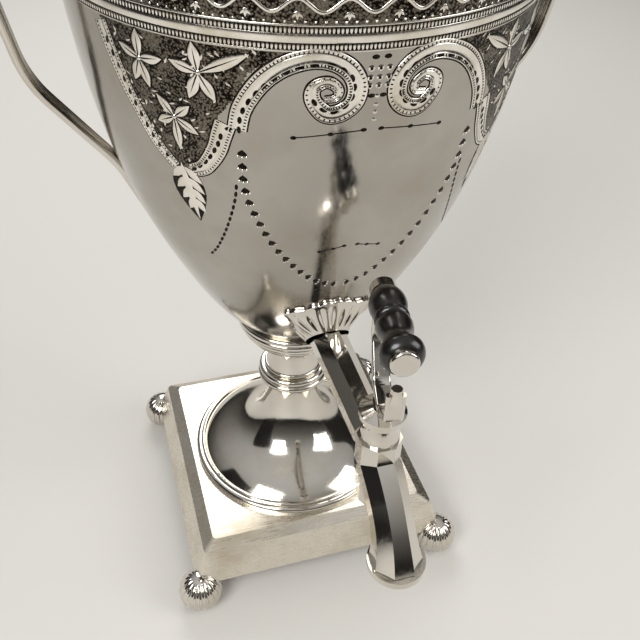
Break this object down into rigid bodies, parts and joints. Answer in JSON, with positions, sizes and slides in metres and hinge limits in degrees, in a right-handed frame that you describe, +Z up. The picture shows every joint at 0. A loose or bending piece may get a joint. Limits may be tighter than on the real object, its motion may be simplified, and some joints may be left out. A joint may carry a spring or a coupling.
{
  "type": "tea urn",
  "caption": "Vase-shaped tea urn on a square plinth with ball feet, reeded strap handles, a turning tap with an ebony grip, and a hinged domed lid over a heater sleeve.",
  "frame": {"origin": "on the floor, on the axis of the body, midway between the four feet", "axes": "+Z up, -Y towards the tap and the user, +X to the user's right"},
  "size_m": [0.2376, 0.2533, 0.443],
  "materials": {
    "polished_silver": "polished silver plate, slightly warm",
    "engraved_silver": "polished silver plate with bright-cut engraving, dark in the cuts",
    "satin_silver": "finely worn, satin silver plate",
    "inner_silver": "dull plated inner surface",
    "nickel_fasteners": "dull nickel silver",
    "ebony": "turned ebony with a soft polish",
    "cast_iron": "rough dark casting"
  },
  "bodies": {
    "root": {"ball_foot_front_left": "polished_silver", "ball_foot_front_right": "polished_silver", "ball_foot_back_left": "polished_silver", "ball_foot_back_right": "polished_silver", "foot_studs": "nickel_fasteners", "foot_nuts": "nickel_fasteners", "plinth": "satin_silver", "plinth_ring": "polished_silver", "trumpet_foot": "polished_silver", "stem_collar": "polished_silver", "stem_cup": "polished_silver", "tie_rod": "nickel_fasteners", "tie_washer": "nickel_fasteners", "tie_nut": "nickel_fasteners", "urn_body": "engraved_silver", "shoulder_bead": "engraved_silver", "rim_moulding": "polished_silver", "heater_sleeve": "inner_silver", "handle_left": "polished_silver", "handle_right": "polished_silver", "tap_flange": "polished_silver", "tap_barrel": "polished_silver", "tap_strainer": "inner_silver", "tap_body": "polished_silver", "tap_pin": "polished_silver", "hinge_body_leaf": "polished_silver", "hinge_pin": "nickel_fasteners"},
    "lid": {"lid": "polished_silver", "lid_bezel": "polished_silver", "hinge_lid_leaf": "polished_silver", "finial_base": "polished_silver", "finial_ebony": "ebony", "finial_button": "polished_silver", "finial_stud": "nickel_fasteners", "finial_nut": "nickel_fasteners"},
    "tap_key": {"tap_plug": "polished_silver", "plug_washer": "nickel_fasteners", "plug_nut": "nickel_fasteners", "tap_bonnet": "polished_silver", "tap_lever": "polished_silver", "tap_grip": "ebony", "grip_spindle": "nickel_fasteners", "grip_button_front": "polished_silver", "grip_button_back": "polished_silver"},
    "sleeve_cover": {"sleeve_cover": "inner_silver", "cover_knob": "inner_silver"},
    "heater_iron": {"heater_iron": "cast_iron", "iron_loop": "cast_iron"}
  },
  "joints": [
    {"name": "lid_hinge", "type": "hinge", "parent": "root", "child": "lid", "pos_m": [0, 0.08, 0.3781], "axis": [-1, 0, 0], "range_deg": [0, 105]},
    {"name": "tap_turn", "type": "hinge", "parent": "root", "child": "tap_key", "pos_m": [0, -0.121, 0.155], "axis": [0, 0, 1], "range_deg": [0, 90]},
    {"name": "cover_lift", "type": "slide", "parent": "root", "child": "sleeve_cover", "axis": [0, 0, 1], "range_m": [0, 0.007]},
    {"name": "iron_lift", "type": "slide", "parent": "root", "child": "heater_iron", "axis": [0, 0, 1], "range_m": [0, 0.008]}
  ]
}
